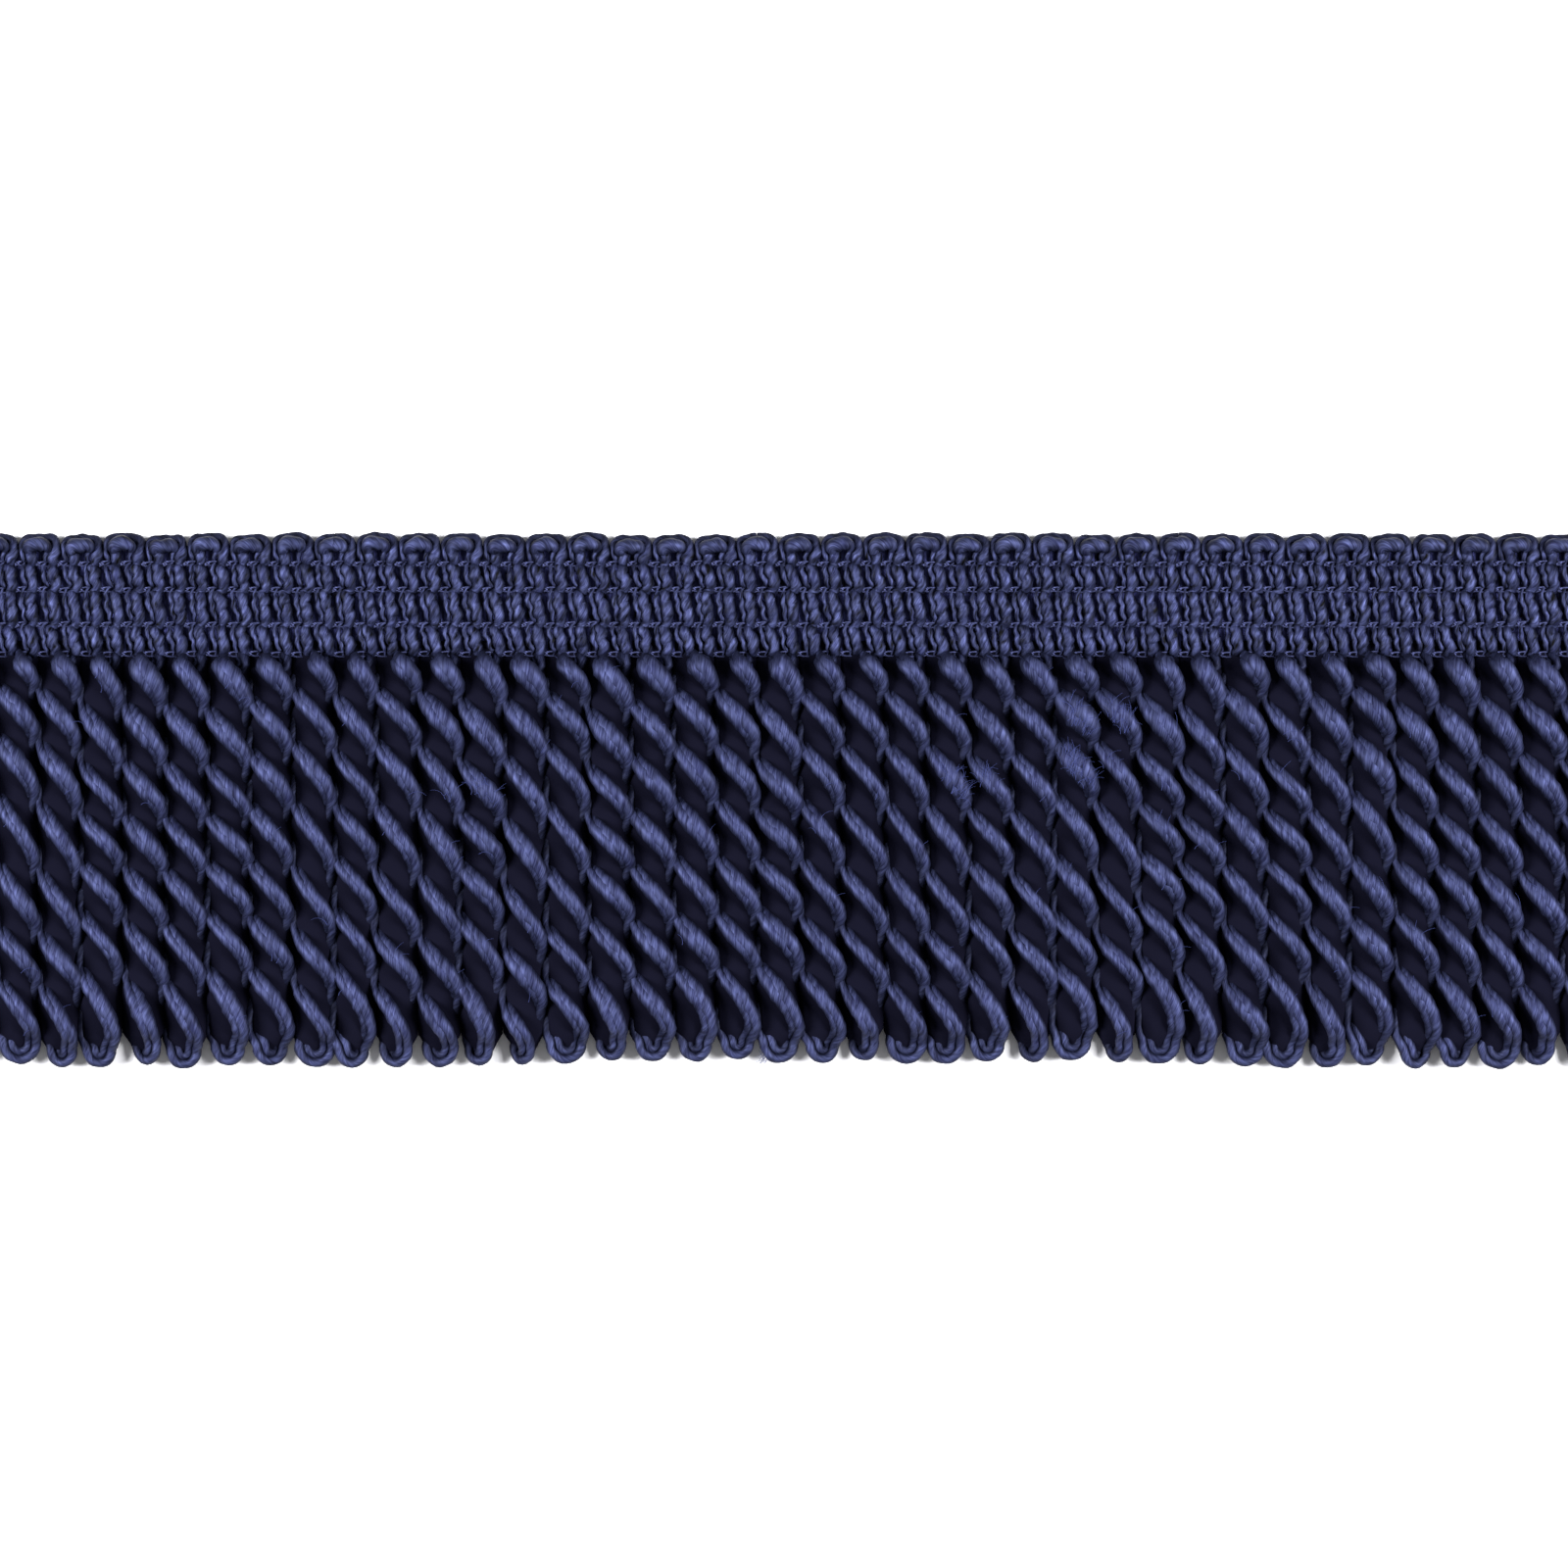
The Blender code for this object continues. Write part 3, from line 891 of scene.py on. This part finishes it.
# %% The rayon material
def rayon(name, deep, light, fibre_mm, ridge):
    """Ridges fibre_mm apart along the fibre map, from the deep colour, painted shade in the
    grooves, to the light one, painted sheen on the crests.
    """
    material = bpy.data.materials.new(name)
    material.use_nodes = True
    tree = material.node_tree
    shader = tree.nodes["Principled BSDF"]
    place = add(tree, "ShaderNodeUVMap", {"uv_map": "fibres"}).outputs[0]

    def streaks(width, length, detail=1.0):
        """Noise drawn out along the fibres: width and length count in ridges."""
        scaled = add(
            tree, "ShaderNodeVectorMath", {"operation": "MULTIPLY"},
            i0=place, i1=(1 / (width * fibre_mm), 1 / (length * fibre_mm), 1),
        )
        noise = add(
            tree, "ShaderNodeTexNoise", Vector=scaled.outputs[0], Scale=1.0, Detail=detail
        )
        return noise.outputs["Fac"]

    # The ridges: a wave across the fibres that strays, with finer and broader streaks added
    across = add(tree, "ShaderNodeSeparateXYZ", Vector=place).outputs["X"]
    turns = add(
        tree, "ShaderNodeMath", {"operation": "MULTIPLY"}, i0=across, i1=2 * math.pi / fibre_mm
    )
    strayed = add(
        tree, "ShaderNodeMath", {"operation": "MULTIPLY_ADD"},
        i0=streaks(4, 12), i1=RIDGE_WANDER, i2=turns.outputs[0],
    )
    ridges = add(tree, "ShaderNodeMath", {"operation": "SINE"}, i0=strayed.outputs[0])
    both = add(
        tree, "ShaderNodeMath", {"operation": "ADD"}, i0=streaks(0.6, 8), i1=streaks(1.5, 12)
    )
    halved = add(tree, "ShaderNodeMath", {"operation": "MULTIPLY"}, i0=both.outputs[0], i1=0.5)
    height = add(
        tree, "ShaderNodeMath", {"operation": "MULTIPLY_ADD"},
        i0=ridges.outputs[0], i1=RIDGE_SHARE, i2=halved.outputs[0],
    )
    # Painted shade and sheen: the colour follows the bump's height, darker in its grooves and
    # lighter on its crests, over the fibres' own streaks of tone
    ramp = add(tree, "ShaderNodeValToRGB", Fac=height.outputs[0])
    steps = zip(ramp.color_ramp.elements, (DEEP_TO, LIGHT_FROM), (deep, light))
    for element, position, colour in steps:
        element.position, element.color = position, linear(colour)

    # The shade between plies, and the blotches, which are stronger in the heading
    # Painted shade: the colour is darkened down to SHADED where the painted light is low
    painted_light = add(tree, "ShaderNodeAttribute", {"attribute_name": "painted_light"}).outputs["Fac"]
    shade = add(tree, "ShaderNodeMapRange", Value=painted_light, To_Min=SHADED, To_Max=1.0)
    in_heading = add(tree, "ShaderNodeAttribute", {"attribute_name": "tone"}).outputs["Fac"]
    strength = add(
        tree, "ShaderNodeMapRange", Value=in_heading, To_Min=PATCHY, To_Max=HEADING_PATCHY
    )
    level = add(tree, "ShaderNodeMapRange", Value=in_heading, To_Min=1.0, To_Max=HEADING_LEVEL)
    centred = add(
        tree, "ShaderNodeMath", {"operation": "SUBTRACT"}, i0=streaks(3, 9, 2.0), i1=0.5
    )
    blotches = add(
        tree, "ShaderNodeMath", {"operation": "MULTIPLY_ADD"},
        i0=centred.outputs[0], i1=strength.outputs[0], i2=level.outputs[0],
    )
    dimmed = add(
        tree, "ShaderNodeMath", {"operation": "MULTIPLY"},
        i0=blotches.outputs[0], i1=shade.outputs[0],
    )
    coloured = add(
        tree, "ShaderNodeVectorMath", {"operation": "SCALE"},
        i0=ramp.outputs["Color"], Scale=dimmed.outputs[0],
    )
    tree.links.new(coloured.outputs[0], shader.inputs["Base Color"])

    bump = add(
        tree, "ShaderNodeBump",
        Height=height.outputs[0], Strength=1.0, Distance=ridge * fibre_mm * MM,
    )
    tree.links.new(bump.outputs["Normal"], shader.inputs["Normal"])
    shader.inputs["Roughness"].default_value = ROUGHNESS
    shader.inputs["Metallic"].default_value = METALLIC
    shader.inputs["Specular IOR Level"].default_value = WHITE_GLOSS
    return material


# %% The three rayon finishes
# Each finish goes from a deep colour, painted shade in the grooves, to a light one, painted sheen
# on the crests
RIDGE_HEIGHT = 0.2
# Softly spun thick yarn: broad silky streaks
cord_finish = rayon("spun_rayon_yarn", "#1F2241", "#41476D", 0.22, RIDGE_HEIGHT)
# Hard-twisted thin yarn, which catches more light: fine pale lines
chain_finish = rayon("rayon_sewing_yarn", "#282B4C", "#535986", 0.10, RIDGE_HEIGHT)
# The same thick yarn pressed flat behind the heading, lit only through the gaps
web_finish = rayon("pressed_back_yarn", "#212349", "#414577", 0.22, RIDGE_HEIGHT)
for piece in weft:
    piece.data.materials.append(cord_finish)
chain.data.materials.append(chain_finish)
web.data.materials.append(web_finish)
print("yarn finishes", [finish.name for finish in (cord_finish, chain_finish, web_finish)])

# %% [markdown]
# ## Dull fibres
#
# Two things on the trim have no sheen. The filler is short-staple cotton, all fuzz, so it scatters
# what little light it gets. Its near-black colour is painted shade, for the dark deep between the
# plies. A loose filament shines, but it is thinner than the eye can part, so it is seen as a soft
# pale haze. A pattern would be lost on both, and a very rough surface in one colour is all that
# they need.

# %% The dull finishes
DULL_ROUGHNESS = 0.95


def dull(name, colour):
    """A fibre with no gloss."""
    material = bpy.data.materials.new(name)
    material.use_nodes = True
    shader = material.node_tree.nodes["Principled BSDF"]
    shader.inputs["Base Color"].default_value = linear(colour)
    shader.inputs["Roughness"].default_value = DULL_ROUGHNESS
    shader.inputs["Specular IOR Level"].default_value = 0.0
    return material


fibres.data.materials.append(dull("loose_rayon_filament", "#3A4170"))
# The filler's near-black colour is painted shade for the dark between the plies
cores.data.materials.append(dull("dull_filler_painted_shade", "#0D0D18"))
print("dull finishes", [piece.data.materials[0].name for piece in (fibres, cores)])

# %% [markdown]
# ## Floor and light
#
# The trim lies on white card. Two square softboxes, out past its left and right ends, rake across
# the cords; with the painted light and shade on the yarn, each ply has a bright crest and dark
# sides. Light from straight above would flatten them. The white room fills the shadows a little.
# Colours are shown as they are, with no film look.

# %% Floor
FLOOR_HALF = 2.0
floor_mesh = bpy.data.meshes.new("floor")
bm = bmesh.new()
bmesh.ops.create_grid(bm, x_segments=1, y_segments=1, size=FLOOR_HALF)
bm.to_mesh(floor_mesh)
bm.free()
floor = bpy.data.objects.new("floor", floor_mesh)
bpy.context.scene.collection.objects.link(floor)
# White card: smooth to the touch, with no gloss to the eye
floor_finish = bpy.data.materials.new("white_card")
floor_finish.use_nodes = True
card = floor_finish.node_tree.nodes["Principled BSDF"]
card.inputs["Base Color"].default_value = linear("#F4F4F8")
card.inputs["Roughness"].default_value = 0.9
floor_mesh.materials.append(floor_finish)
print("floor m", 2 * FLOOR_HALF)

# %% Light
# In metres and watts
BOX_OUT, BOX_BACK, BOX_HEIGHT = 0.56, 0.05, 0.46
BOX_SIZE, BOX_POWER = 0.3, 12.0
ROOM_LIGHT = 0.3


def softbox(name, place):
    """A square light turned to the middle of the trim."""
    data = bpy.data.lights.new(name, "AREA")
    data.shape = "SQUARE"
    data.size = BOX_SIZE
    data.energy = BOX_POWER
    lamp = bpy.data.objects.new(name, data)
    lamp.location = place
    lamp.rotation_euler = (-Vector(place)).to_track_quat("-Z", "Y").to_euler()
    bpy.context.scene.collection.objects.link(lamp)


softbox("left_softbox", (-BOX_OUT, BOX_BACK, BOX_HEIGHT))
softbox("right_softbox", (BOX_OUT, BOX_BACK, BOX_HEIGHT))
world = bpy.data.worlds.new("room")
world.use_nodes = True
world.node_tree.nodes["Background"].inputs["Color"].default_value = (1, 1, 1, 1)
world.node_tree.nodes["Background"].inputs["Strength"].default_value = ROOM_LIGHT
bpy.context.scene.world = world
bpy.context.scene.view_settings.view_transform = "Standard"
print("softboxes W", BOX_POWER, "room", ROOM_LIGHT)

# %% [markdown]
# ## What each piece belongs to
#
# Every piece rides on the one body of the part. The four lengths of weft stand in for both CAD
# solids, which are hidden. The web is a sheet, and lies with all the rest.

# %% Attach everything
for piece in weft + [cores, chain, fibres, web]:
    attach(piece, "root")
for piece in weft:
    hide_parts("bullion_skirt", "heading")
